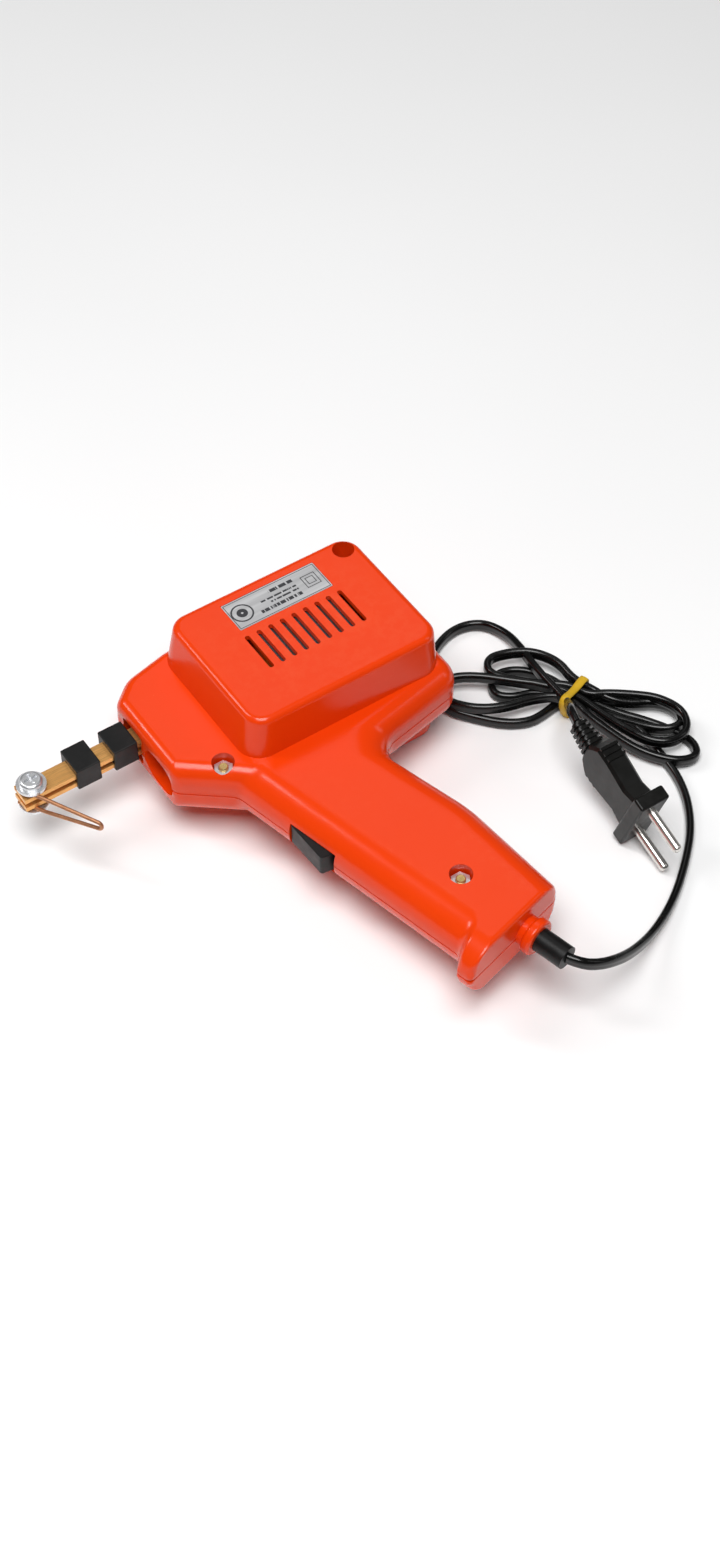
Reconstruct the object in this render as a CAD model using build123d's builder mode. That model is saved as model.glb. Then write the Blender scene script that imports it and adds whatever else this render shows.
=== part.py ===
"""Transformer soldering gun, lying on its side, in millimetres.

Frame: +X towards the tip, +Y towards the end of the handle, +Z up, origin under the middle of the gun.
The plan is set out from the rear upper corner of the transformer box and moved to the origin by DATUM.
The grip has its own pair of axes: `n` across it (towards the trigger) and `a` along it (towards the cord).
"""

import os
from math import cos, hypot, radians, sin, sqrt, tan

from build123d import *

# ---- overall -------------------------------------------------------------------------------
DATUM = (-82.8, -100.4)  # box corner, seen from the part's origin
MID = 30.0  # height of the parting plane
HALF = 13.0  # half thickness of the nose, neck and grip
WALL = 2.2
SEAM = 0.35  # height of the shadow gap along the parting line, each side
SEAM_STEP = 0.25
GRIP_TILT = 14.42  # lean of the grip from +Y, degrees

# ---- transformer box -----------------------------------------------------------------------
BOX_TOP = 60.0
BOX_ROOT = 36.0  # the box walls are carried down to this height, inside the body
BOX_TOP_SIZE = (87.0, 66.0)
BOX_ROOT_SIZE = (94.2, 71.5)
BOX_ROOT_OUT = -0.6  # how far the root stands out past the corner of the box
BOX_TOP_RADIUS = 8.0
BOX_ROOT_RADIUS = 11.0
BOX_EDGE = 3.0

# ---- grip stations (n across, a along) -------------------------------------------------------
GRIP_FRONT = 113.6
GRIP_BACK_MID = (61.0, 118.0)
GRIP_BACK_END = 68.3
GRIP_END = 166.5
LIP_OUT = 120.2
LIP_START = 155.5
LIP_CREST = 160.0
COLLAR_N = 88.0

# ---- bolts ---------------------------------------------------------------------------------
BOLT_SPOTS = [(7.0, 6.8), (99.6, 61.5), (54.8, 156.5)]
BOLT_RADIUS = 2.0
SINK_RADIUS = 4.55
SHOULDER = 6.0  # bolt shoulders stand this far from the parting plane
NUT_FLATS = 7.0
NUT_HEIGHT = 3.2
HEAD_RADIUS = 3.8
HEAD_HEIGHT = 2.6

# ---- transformer ---------------------------------------------------------------------------
CORE_X = (24.5, 59.5)  # the stack
CORE_Y = 6.5
CORE_WIDTH = 54.0
CORE_LEG = 9.0
CORE_BACK = 36.0  # from the yoke's face to the ends of the legs
BOBBIN_WALL = 1.0
COIL_DEPTH = 4.4
FLANGE_Y = (15.7, 42.3)
FLANGE_THICK = 1.1
TAPE = 0.5

# ---- copper bars and tip -------------------------------------------------------------------
BAR_WIDTH = 9.0
BAR_THICK = 2.1
BAR_Y = 23.9
BAR_OFF = 2.25  # bar centre to the parting plane, outside the nose
BAR_OFF_COIL = 16.35  # the same beside the coil
BAR_BACK_X = 14.0
BAR_BEND_X = (70.0, 98.0)
BAR_END_X = 169.5
BLOCKS = {"spacer_block_inner": 119.6, "spacer_block_outer": 136.4}
BLOCK_SIZE = (10.6, 13.4, 10.8)
BLOCK_RISE = 1.1  # the blocks sit a little high on the bars
TIP_X = 164.0
WIRE = 1.6
WIRE_GAP = 0.05
TIP_SIDE = 3.4  # tip wire to the screw axis
TIP_HEADING = 121.3  # degrees from +X
TIP_REACH = 32.3
TIP_TAIL = 4.9
SCREW_RADIUS = 2.5
WASHER_RADIUS = 6.0
WASHER_THICK = 1.1

# ---- trigger and switch (n, a) -------------------------------------------------------------
TRIGGER_HALF = 5.2
TRIGGER_PIVOT = (107.5, 73.5)
PIN_RADIUS = 1.25
RUN_GAP = 0.05
SLOT_A = (70.6, 93.6)
SWITCH_N = (84.5, 98.5)
SWITCH_A = (75.0, 91.0)
SWITCH_HALF = 6.0
PLUNGER_A = 86.0
PLUNGER_RADIUS = 1.8

# ---- lamp ----------------------------------------------------------------------------------
NOSE_X = 118.3
LAMP_Y = 37.5
POCKET_Y = (32.5, 53.5)
POCKET_HALF = 7.5
POCKET_BACK = 108.0
WINDOW_Y = (16.2, 30.2)
WINDOW_HALF = 8.0

# ---- cord, in the part's own frame ---------------------------------------------------------
CORD = 5.2
SLEEVE_RADIUS = 4.8
SLEEVE_END = 186.0
HANK_HEIGHT = 11.0
PIN_SPACING = 18.6
PLUG_PIN = 4.0
PLUG_PIN_LENGTH = 19.0


def plan(x, y):
    """A point of the plan, seen from the part's origin."""
    return (x + DATUM[0], y + DATUM[1])


def grip(n, a):
    """A point given across and along the grip, seen from the part's origin."""
    lean = radians(GRIP_TILT)
    return plan(n * cos(lean) - a * sin(lean), n * sin(lean) + a * cos(lean))


def level(z):
    """A horizontal plane whose local origin is the corner of the transformer box."""
    return Plane(origin=(DATUM[0], DATUM[1], z))


def grip_plane(n, a, z, along):
    """A plane across the grip's `n` or `a` direction, its local x axis horizontal."""
    lean = radians(GRIP_TILT)
    across = Vector(cos(lean), sin(lean), 0)
    length = Vector(-sin(lean), cos(lean), 0)
    x, y = grip(n, a)
    if along == "a":
        return Plane(origin=(x, y, z), x_dir=across, z_dir=length)
    return Plane(origin=(x, y, z), x_dir=length, z_dir=across)


def front_plane(x, y, z):
    """A plane facing +X; its local x axis is +Y and its local y axis is +Z."""
    px, py = plan(x, y)
    return Plane(origin=(px, py, z), x_dir=(0, 1, 0), z_dir=(1, 0, 0))


def export(piece, name):
    piece.part.label = name
    export_step(piece.part, f"parts/{name}.step")


# ---- body outline --------------------------------------------------------------------------
# Each corner: place, corner radius, then the run and rise of the rounding along the side that
# starts there. The sides go round the body with the inside on their left.
ROOF = (5.0, 7.0)
GRIP_ROUND = (12.2, 12.2)
BODY = [
    (plan(-4.5, -2.5), 7.0, ROOF),
    (plan(88.0, -2.5), 30.0, ROOF),
    (plan(109.0, 2.2), 13.0, ROOF),
    (plan(118.3, 10.4), 6.0, (4.5, 4.5)),
    (plan(118.3, 55.3), 5.0, (7.0, 9.0)),
    (plan(99.1, 70.7), 8.0, GRIP_ROUND),
    (grip(GRIP_FRONT, LIP_START), 4.0, (6.0, 12.2)),
    (grip(LIP_OUT, LIP_CREST), 3.5, (14.0, 12.2)),
    (grip(LIP_OUT, GRIP_END), 3.0, (2.0, 2.0)),
    (grip(GRIP_BACK_END, GRIP_END), 4.0, GRIP_ROUND),
    (grip(*GRIP_BACK_MID), 60.0, GRIP_ROUND),
    (plan(43.5, 83.8), 10.5, (9.5, 9.5)),
    (plan(-4.5, 74.2), 9.0, (6.0, 8.0)),
]


def inset_at(rounding, height, wall):
    """How far a side has drawn in at a height above the parting plane."""
    run = max(rounding[0] - wall, 0.5)
    rise = max(rounding[1] - wall, 0.5)
    climb = height - (HALF - wall - rise)
    if climb <= 0:
        return wall
    return wall + run * (1 - sqrt(max(0.0, 1 - (climb / rise) ** 2)))


def crossing(p, u, q, v):
    """Where the line through p along u meets the line through q along v."""
    det = v[0] * u[1] - u[0] * v[1]
    t = (v[0] * (q[1] - p[1]) - v[1] * (q[0] - p[0])) / det
    return (p[0] + t * u[0], p[1] + t * u[1])


def drawn_in(height, wall):
    """The body's corners and corner radii at a height above the parting plane."""
    sides = []
    for i, (start, _, rounding) in enumerate(BODY):
        end = BODY[(i + 1) % len(BODY)][0]
        size = hypot(end[0] - start[0], end[1] - start[1])
        u = ((end[0] - start[0]) / size, (end[1] - start[1]) / size)
        d = inset_at(rounding, height, wall)
        sides.append(((start[0] - u[1] * d, start[1] + u[0] * d), u, d))
    corners = []
    radii = []
    for i, (_, radius, _) in enumerate(BODY):
        p, u, d_before = sides[i - 1]
        q, v, d_after = sides[i]
        corners.append(crossing(p, u, q, v))
        turns_left = u[0] * v[1] - u[1] * v[0] > 0
        shrink = (d_before + d_after) / 2 if turns_left else 0
        radii.append(max(radius - shrink, 1.0) if radius < 20 else radius)
    return corners, radii


def body_loft(levels, wall):
    """The rounded half body through its outline at several heights."""
    with BuildPart() as body:
        for height in levels:
            corners, radii = drawn_in(height, wall)
            with BuildSketch(Plane.XY.offset(MID + height)):
                with BuildLine():
                    FilletPolyline(*corners, radius=radii, close=True)
                make_face()
        loft()
    return body.part


def box_block(inset, top):
    """The transformer box as a tapered block, drawn in by a wall thickness."""
    with BuildPart() as box:
        for z, size, out, radius in (
            (BOX_ROOT, BOX_ROOT_SIZE, BOX_ROOT_OUT, BOX_ROOT_RADIUS),
            (BOX_TOP, BOX_TOP_SIZE, 0.0, BOX_TOP_RADIUS),
        ):
            with BuildSketch(level(z)):
                with Locations((out + size[0] / 2, out + size[1] / 2)):
                    RectangleRounded(size[0] - 2 * inset, size[1] - 2 * inset, radius - inset)
        loft(ruled=True)
        split(bisect_by=Plane.XY.offset(top), keep=Keep.BOTTOM)
        fillet(box.faces().sort_by(Axis.Z)[-1].edges(), BOX_EDGE - inset / 2)
    return box.part


def ribs_and_bosses(outer):
    """Bolt bosses, pin posts, switch ribs and the nest of ribs round the core."""
    with BuildPart() as ribs:
        for spot, top in zip(BOLT_SPOTS, (BOX_TOP - 1, MID + HALF - 1, MID + HALF - 1)):
            with BuildSketch(level(MID)):
                with Locations(spot):
                    Circle(5.8)
            extrude(amount=top - MID)
        with BuildSketch(Plane.XY.offset(MID + TRIGGER_HALF + 0.6)):
            with Locations(grip(*TRIGGER_PIVOT)):
                Circle(2.6)
        extrude(amount=HALF - TRIGGER_HALF - 1.5)
        for a in (78.0, 88.0):
            with BuildSketch(Plane.XY.offset(MID + SWITCH_HALF + 0.2)):
                with BuildLine():
                    corners = [(SWITCH_N[0], a - 0.8), (SWITCH_N[1], a - 0.8), (SWITCH_N[1], a + 0.8)]
                    corners.append((SWITCH_N[0], a + 0.8))
                    Polyline(*[grip(*c) for c in corners], close=True)
                make_face()
            extrude(amount=HALF - SWITCH_HALF - 1.2)
        with BuildSketch(level(MID + CORE_WIDTH / 2 - 7)):
            middle = ((CORE_X[0] + CORE_X[1]) / 2, CORE_Y + (CORE_BACK + CORE_LEG) / 2)
            with Locations(middle):
                Rectangle(CORE_X[1] - CORE_X[0] + 4, CORE_BACK + CORE_LEG + 4)
                Rectangle(CORE_X[1] - CORE_X[0] + 0.6, CORE_BACK + CORE_LEG + 0.6, mode=Mode.SUBTRACT)
        extrude(until=None, amount=BOX_TOP - 1.5 - (MID + CORE_WIDTH / 2 - 7))
        add(outer, mode=Mode.INTERSECT)
    return ribs.part


def lamp_pocket(grow, back, front):
    """The oval lamp pocket as a block, used once for its walls and once for its hollow."""
    length = POCKET_Y[1] - POCKET_Y[0] + 2 * grow
    with BuildPart() as pocket:
        with BuildSketch(front_plane(back, (POCKET_Y[0] + POCKET_Y[1]) / 2, MID)):
            SlotOverall(length, 2 * (POCKET_HALF + grow))
        extrude(amount=front - back)
    return pocket.part


def collar():
    """Neck and ring on the end of the grip that hold the cord sleeve."""
    with BuildPart() as ring:
        with BuildSketch(grip_plane(COLLAR_N, GRIP_END - 1, MID, "a")):
            Circle(6.2)
        extrude(amount=4.0)
        with BuildSketch(grip_plane(COLLAR_N, GRIP_END + 2.6, MID, "a")):
            Circle(7.6)
        extrude(amount=4.2)
        rims = ring.edges().filter_by(GeomType.CIRCLE).filter_by(lambda e: abs(e.radius - 7.6) < 0.01)
        fillet(rims, 1.3)
    return ring.part


def openings():
    """Everything that is cut out of a housing half, as one set of blocks."""
    window = (WINDOW_Y[0] + WINDOW_Y[1]) / 2
    slot = [(GRIP_FRONT - 5, SLOT_A[0]), (GRIP_FRONT + 5, SLOT_A[0])]
    slot += [(GRIP_FRONT + 5, SLOT_A[1]), (GRIP_FRONT - 5, SLOT_A[1])]
    with BuildPart() as cutters:
        with BuildSketch(level(MID - 1)):
            with Locations(*BOLT_SPOTS):
                Circle(BOLT_RADIUS + 0.15)
        extrude(amount=SHOULDER + 2)
        with BuildSketch(level(MID + SHOULDER)):
            with Locations(*BOLT_SPOTS):
                Circle(SINK_RADIUS)
        extrude(amount=BOX_TOP - MID)
        with BuildSketch(level(BOX_TOP - WALL - 0.3)):
            for i in range(9):
                with Locations((65.0 - 5.45 * i, 34.4)):
                    SlotOverall(19.4, 2.1, rotation=90)
        extrude(amount=5)
        with BuildSketch(level(BOX_TOP - 0.35)):
            with Locations((43.3, 13.4)):
                Rectangle(44.0, 15.6)
        extrude(amount=1)
        with BuildSketch(front_plane(NOSE_X - 8, window, MID)):
            RectangleRounded(WINDOW_Y[1] - WINDOW_Y[0], 2 * WINDOW_HALF, 1.5)
        extrude(amount=12)
        with BuildSketch(front_plane(POCKET_BACK - 4, LAMP_Y, MID)):
            Circle(3.1)
        extrude(amount=8)
        with BuildSketch(Plane.XY.offset(MID - 1)):
            with BuildLine():
                Polyline(*[grip(*c) for c in slot], close=True)
            make_face()
        extrude(amount=TRIGGER_HALF + 1.4)
        with BuildSketch(Plane.XY.offset(MID - 1)):
            with Locations(grip(*TRIGGER_PIVOT)):
                Circle(PIN_RADIUS + RUN_GAP)
        extrude(amount=8.5)
        with BuildSketch(grip_plane(COLLAR_N, GRIP_END - 6, MID, "a")):
            Circle(SLEEVE_RADIUS + RUN_GAP)
        extrude(amount=20)
        add(lamp_pocket(0, POCKET_BACK, NOSE_X + 4))
    return cutters.part


def housing_half():
    """The upper half of the housing; the lower half mirrors it."""
    outer_body = body_loft((SEAM, 4.0, 7.0, 9.0, 10.6, 11.8, 12.6, HALF), 0.0)
    inner_body = body_loft((-0.5, 3.0, 5.5, 7.5, 9.0, 10.1, HALF - WALL), WALL)
    corners, radii = drawn_in(0, SEAM_STEP)
    with BuildPart() as outer:
        add(outer_body)
        with BuildSketch(Plane.XY.offset(MID)):
            with BuildLine():
                FilletPolyline(*corners, radius=radii, close=True)
            make_face()
        extrude(amount=SEAM)
        add(box_block(0, BOX_TOP))
    with BuildPart() as half:
        add(outer.part)
        add(inner_body, mode=Mode.SUBTRACT)
        add(box_block(WALL, BOX_TOP - WALL), mode=Mode.SUBTRACT)
        add(ribs_and_bosses(outer.part))
        add(lamp_pocket(1.6, POCKET_BACK - 1.8, NOSE_X - 1.5))
        add(collar())
        add(openings(), mode=Mode.SUBTRACT)
        split(bisect_by=Plane.XY.offset(MID), keep=Keep.TOP)
    return half


def bolts_and_nuts():
    with BuildPart() as bolts:
        for spot in BOLT_SPOTS:
            with BuildSketch(level(MID - SHOULDER)):
                with Locations(spot):
                    Circle(HEAD_RADIUS)
            extrude(amount=-HEAD_HEIGHT)
            with BuildSketch(level(MID - SHOULDER)):
                with Locations(spot):
                    Circle(BOLT_RADIUS)
            extrude(amount=2 * SHOULDER + NUT_HEIGHT + 1.2)
        rims = bolts.edges().filter_by(GeomType.CIRCLE)
        fillet(rims.group_by(Axis.Z)[0], 1.2)
        chamfer(bolts.edges().filter_by(GeomType.CIRCLE).group_by(Axis.Z)[-1], 0.4)
        with BuildSketch(level(MID - SHOULDER - HEAD_HEIGHT)):
            for spot in BOLT_SPOTS:
                with Locations(spot):
                    Rectangle(4.2, 0.9)
                    Rectangle(0.9, 4.2)
        extrude(amount=1.3, mode=Mode.SUBTRACT)
    with BuildPart() as nuts:
        with BuildSketch(level(MID + SHOULDER)):
            for spot in BOLT_SPOTS:
                with Locations(spot):
                    RegularPolygon(NUT_FLATS / 2, 6, major_radius=False)
                    Circle(BOLT_RADIUS + RUN_GAP, mode=Mode.SUBTRACT)
        extrude(amount=NUT_HEIGHT)
    export(bolts, "housing_bolts")
    export(nuts, "housing_nuts")


def rating_plates():
    """Two plain label plates, one in the shallow recess of each side."""
    for name, z in (("rating_plate_upper", BOX_TOP - 0.33), ("rating_plate_lower", 0.05)):
        with BuildPart() as plate:
            with BuildSketch(level(z)):
                with Locations((43.3, 13.4)):
                    RectangleRounded(43.6, 15.2, 0.4)
            extrude(amount=0.28)
        export(plate, name)


def laminations():
    """E and I stacks of the core; the E opens towards the grip."""
    stack = CORE_X[1] - CORE_X[0]
    leg_length = CORE_BACK - CORE_LEG
    with BuildPart() as e_stack:
        with BuildSketch(front_plane(CORE_X[0], CORE_Y, MID)):
            with Locations((CORE_BACK / 2, 0)):
                Rectangle(CORE_BACK, CORE_WIDTH)
            window = CORE_WIDTH / 2 - 2 * CORE_LEG
            for side in (-1, 1):
                with Locations((CORE_LEG + leg_length / 2, side * (CORE_LEG + window / 2))):
                    Rectangle(leg_length, window, mode=Mode.SUBTRACT)
        extrude(amount=stack)
    with BuildPart() as i_stack:
        with BuildSketch(front_plane(CORE_X[0], CORE_Y + CORE_BACK + CORE_LEG / 2, MID)):
            Rectangle(CORE_LEG, CORE_WIDTH)
        extrude(amount=stack)
    export(e_stack, "core_e_stack")
    export(i_stack, "core_i_stack")


def coil_ring(inner, thick, y_from, y_to):
    """A rectangular ring round the centre leg, thick outwards from `inner` past the leg."""
    middle = (CORE_X[0] + CORE_X[1]) / 2
    wide = CORE_X[1] - CORE_X[0] + 2 * inner
    tall = 2 * (CORE_LEG + inner)
    with BuildPart() as ring:
        with BuildSketch(Plane(origin=(*plan(middle, y_from), MID), x_dir=(-1, 0, 0), z_dir=(0, 1, 0))):
            RectangleRounded(wide + 2 * thick, tall + 2 * thick, 0.4 + thick / 2)
            RectangleRounded(wide, tall, 0.4, mode=Mode.SUBTRACT)
        extrude(amount=y_to - y_from)
    return ring


def coil():
    """Bobbin with two flanges, the winding between them, its tape and the solder tags."""
    gap = 0.2
    inner = gap + BOBBIN_WALL
    between = (FLANGE_Y[0] + FLANGE_THICK, FLANGE_Y[1] - FLANGE_THICK)
    with BuildPart() as bobbin:
        add(coil_ring(gap, BOBBIN_WALL, *FLANGE_Y).part)
        add(coil_ring(gap, CORE_LEG - 2 * gap, FLANGE_Y[0], between[0]).part)
        add(coil_ring(gap, CORE_LEG - 2 * gap, between[1], FLANGE_Y[1]).part)
    with BuildPart() as tags:
        with BuildSketch(Plane(origin=(*plan(63.0, FLANGE_Y[1]), MID), x_dir=(-1, 0, 0), z_dir=(0, 1, 0))):
            with Locations(*[(0, z) for z in (-14, -8, 8, 14)]):
                Rectangle(3.0, 0.8)
        extrude(amount=5)
    export(bobbin, "bobbin")
    export(coil_ring(inner, COIL_DEPTH, *between), "primary_winding")
    export(coil_ring(inner + COIL_DEPTH, TAPE, *between), "winding_tape")
    export(tags, "solder_tags")


def secondary_bar():
    """The single secondary turn: one copper strip out of the nose, round the leg and back."""
    y = plan(0, BAR_Y)[1]
    stations = [(BAR_END_X, BAR_OFF), (BAR_BEND_X[1], BAR_OFF), (BAR_BEND_X[0], BAR_OFF_COIL)]
    stations.append((BAR_BACK_X, BAR_OFF_COIL))
    upper = [(plan(x, 0)[0], y, MID + z) for x, z in stations]
    lower = [(px, py, 2 * MID - pz) for px, py, pz in reversed(upper)]
    with BuildPart() as bar:
        with BuildLine():
            FilletPolyline(*upper, *lower, radius=[6, 6, 3, 3, 6, 6])
        with BuildSketch(Plane(origin=upper[0], x_dir=(0, 1, 0), z_dir=(-1, 0, 0))):
            Rectangle(BAR_WIDTH, BAR_THICK)
        sweep()
        with BuildSketch(level(0)):
            with Locations((TIP_X, BAR_Y)):
                Circle(SCREW_RADIUS + RUN_GAP)
        extrude(amount=BOX_TOP, mode=Mode.SUBTRACT)
    export(bar, "secondary_bar")


def spacer_blocks():
    """Insulating blocks that hold the two bars apart, each with a slot for both bars."""
    for name, x in BLOCKS.items():
        with BuildPart() as block:
            with BuildSketch(front_plane(x, BAR_Y - 0.9, MID + BLOCK_RISE)):
                Rectangle(BLOCK_SIZE[1], BLOCK_SIZE[2])
            extrude(amount=BLOCK_SIZE[0])
            fillet(block.edges(), 0.5)
            with BuildSketch(front_plane(x - 1, BAR_Y, MID)):
                for side in (-1, 1):
                    with Locations((0, side * BAR_OFF)):
                        Rectangle(BAR_WIDTH + 2 * RUN_GAP, BAR_THICK + 2 * RUN_GAP)
            extrude(amount=BLOCK_SIZE[0] + 2, mode=Mode.SUBTRACT)
        export(block, name)


def tip_fasteners():
    """Pan head screws and washers, one on the outer face of each bar."""
    washer_z = BAR_OFF + BAR_THICK / 2 + WIRE + 2 * WIRE_GAP
    head_z = washer_z + WASHER_THICK
    with BuildPart() as screws:
        with BuildSketch(level(MID + 0.6)):
            with Locations((TIP_X, BAR_Y)):
                Circle(SCREW_RADIUS)
        extrude(amount=head_z + 0.5 - 0.6)
        with BuildSketch(level(MID + head_z)):
            with Locations((TIP_X, BAR_Y)):
                Circle(4.7)
        extrude(amount=2.6)
        fillet(screws.edges().filter_by(GeomType.CIRCLE).group_by(Axis.Z)[-1], 1.5)
        with BuildSketch(level(MID + head_z + 2.6)):
            with Locations((TIP_X, BAR_Y)):
                Rectangle(5.4, 1.1)
                Rectangle(1.1, 5.4)
        extrude(amount=-1.6, mode=Mode.SUBTRACT)
        mirror(about=Plane.XY.offset(MID))
    with BuildPart() as washers:
        with BuildSketch(level(MID + washer_z)):
            with Locations((TIP_X, BAR_Y)):
                Circle(WASHER_RADIUS)
                Circle(SCREW_RADIUS + 0.2, mode=Mode.SUBTRACT)
        extrude(amount=WASHER_THICK)
        mirror(about=Plane.XY.offset(MID))
    export(screws, "tip_screws")
    export(washers, "tip_washers")


def tip_wire():
    """The hairpin tip: flat under each washer, then converging to a tight bend."""
    heading = radians(TIP_HEADING)
    along = Vector(cos(heading), sin(heading), 0)
    side = Vector(sin(heading), -cos(heading), 0)
    x, y = plan(TIP_X, BAR_Y)
    foot = Vector(x, y, MID) + side * TIP_SIDE
    hold = BAR_OFF + BAR_THICK / 2 + WIRE_GAP + WIRE / 2
    bend = 1.75
    upper = [(-TIP_TAIL, hold), (7.5, hold), (TIP_REACH, bend)]
    points = upper + [(d, -z) for d, z in reversed(upper)]
    route = [foot + along * d + Vector(0, 0, z) for d, z in points]
    with BuildPart() as wire:
        with BuildLine():
            FilletPolyline(*route, radius=[8, 1.6, 1.6, 8])
        with BuildSketch(Plane(origin=route[0], z_dir=along)):
            Circle(WIRE / 2)
        sweep()
    export(wire, "tip_wire")


def trigger():
    """Rocking trigger, flush at its nose end and raised at the other."""
    outline = [(104.6, 71.0), (112.8, 71.0), (116.9, 90.2), (111.2, 92.4), (102.6, 91.0), (102.6, 83.0)]
    with BuildPart() as rocker:
        with BuildSketch(Plane.XY.offset(MID - TRIGGER_HALF)):
            with BuildLine():
                FilletPolyline(*[grip(*p) for p in outline], radius=[0.6, 0.6, 1.4, 0.8, 0.6, 2.0], close=True)
            make_face()
        extrude(amount=2 * TRIGGER_HALF)
        chamfer(rocker.faces().filter_by(Axis.Z).edges(), 0.3)
        with BuildSketch(Plane.XY.offset(MID - TRIGGER_HALF - 1)):
            with Locations(grip(*TRIGGER_PIVOT)):
                Circle(PIN_RADIUS + RUN_GAP)
        extrude(amount=2 * TRIGGER_HALF + 2, mode=Mode.SUBTRACT)
    with BuildPart() as pin:
        with BuildSketch(Plane.XY.offset(MID - 7.3)):
            with Locations(grip(*TRIGGER_PIVOT)):
                Circle(PIN_RADIUS)
        extrude(amount=14.6)
    export(rocker, "trigger")
    export(pin, "trigger_pin")


def switch():
    """Push switch behind the trigger, with its plunger and two terminals."""
    corners = [(n, a) for n, a in zip((SWITCH_N[0], SWITCH_N[1]), (SWITCH_A[0], SWITCH_A[0]))]
    corners += [(SWITCH_N[1], SWITCH_A[1]), (SWITCH_N[0], SWITCH_A[1])]
    with BuildPart() as case:
        with BuildSketch(Plane.XY.offset(MID - SWITCH_HALF)):
            with BuildLine():
                Polyline(*[grip(*c) for c in corners], close=True)
            make_face()
        extrude(amount=2 * SWITCH_HALF)
        fillet(case.edges().filter_by(Axis.Z), 0.8)
        with BuildSketch(grip_plane(SWITCH_N[1], PLUNGER_A, MID, "n")):
            Circle(PLUNGER_RADIUS + 0.08)
        extrude(amount=-5.6, mode=Mode.SUBTRACT)
    with BuildPart() as plunger:
        with BuildSketch(grip_plane(SWITCH_N[1] - 3.0, PLUNGER_A, MID, "n")):
            Circle(PLUNGER_RADIUS)
        extrude(amount=6.8)
        fillet(plunger.edges().filter_by(GeomType.CIRCLE), 0.4)
    with BuildPart() as terminals:
        for a in (79.0, 87.0):
            with BuildSketch(grip_plane(SWITCH_N[0], a, MID, "n")):
                Rectangle(4.0, 0.8)
            extrude(amount=-5)
    export(case, "switch_case")
    export(plunger, "switch_plunger")
    export(terminals, "switch_terminals")


def lamp():
    """Small filament lamp that shines out of the nose pocket."""
    with BuildPart() as bulb:
        with BuildSketch(front_plane(101.0, LAMP_Y, MID)):
            Circle(2.75)
        extrude(amount=14.6)
        fillet(bulb.edges().filter_by(GeomType.CIRCLE).sort_by(Axis.X)[-1], 2.6)
    with BuildPart() as cap:
        with BuildSketch(front_plane(94.0, LAMP_Y, MID)):
            Circle(2.9)
        extrude(amount=7.0)
    with BuildPart() as holder:
        with BuildSketch(front_plane(92.5, LAMP_Y, MID)):
            RectangleRounded(9.0, 12.0, 1.5)
        extrude(amount=7.0)
        with BuildSketch(front_plane(94.0, LAMP_Y, MID)):
            Circle(2.9)
        extrude(amount=8.0, mode=Mode.SUBTRACT)
    export(bulb, "lamp_bulb")
    export(cap, "lamp_cap")
    export(holder, "lamp_holder")


def wire_run(name, route, radii, size):
    """An insulated lead along its route, round in section."""
    start = Vector(*route[0])
    heading = (Vector(*route[1]) - start).normalized()
    with BuildPart() as lead:
        with BuildLine():
            FilletPolyline(*route, radius=radii)
        with BuildSketch(Plane(origin=start, z_dir=heading)):
            Circle(size / 2)
        sweep()
    export(lead, name)


def inner_wires():
    """Leads between the cord, the switch, the primary tags and the lamp."""
    cord_a = 159.2
    live = [(*grip(88, cord_a), 28.8), (*grip(80, 148), 28.8), (*grip(76, 118), 29.4), (*grip(74.5, 93), 30)]
    live.append((*grip(79.5, 87), 30))
    neutral = [(*grip(88, cord_a), 31.2), (*grip(77, 146), 33), (*grip(70, 108), 34), (*plan(58, 72), 36)]
    neutral += [(*plan(63, 58), 38), (*plan(63, FLANGE_Y[1] + 5), 38)]
    switched = [(*grip(79.5, 79), 30), (*grip(76, 74), 32), (*plan(66, 66), 40), (*plan(63, 56), 44)]
    switched.append((*plan(63, FLANGE_Y[1] + 5), 44))
    wire_run("wire_live", live, 5, 2.0)
    wire_run("wire_neutral", neutral, 4, 2.0)
    wire_run("wire_switched", switched, 3, 2.0)
    for name, out, z in (("lamp_wire_a", 1.4, 22), ("lamp_wire_b", -1.4, 16)):
        route = [(*plan(92.5, LAMP_Y + out), MID), (*plan(84, LAMP_Y + out), MID - 1), (*plan(72, 52 - out), z + 1)]
        route += [(*plan(63, 57 - out), z), (*plan(63, FLANGE_Y[1] + 5), z)]
        wire_run(name, route, 3, 1.2)


def sleeve():
    """Cord sleeve: a flanged rubber tube gripped in the collar."""
    with BuildPart() as tube:
        with BuildSketch(grip_plane(COLLAR_N, 159.9, MID, "a")):
            Circle(6.3)
        extrude(amount=2.6)
        with BuildSketch(grip_plane(COLLAR_N, 159.9, MID, "a")):
            Circle(SLEEVE_RADIUS)
        extrude(amount=SLEEVE_END - 159.9)
    export(tube, "cord_sleeve")


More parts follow.
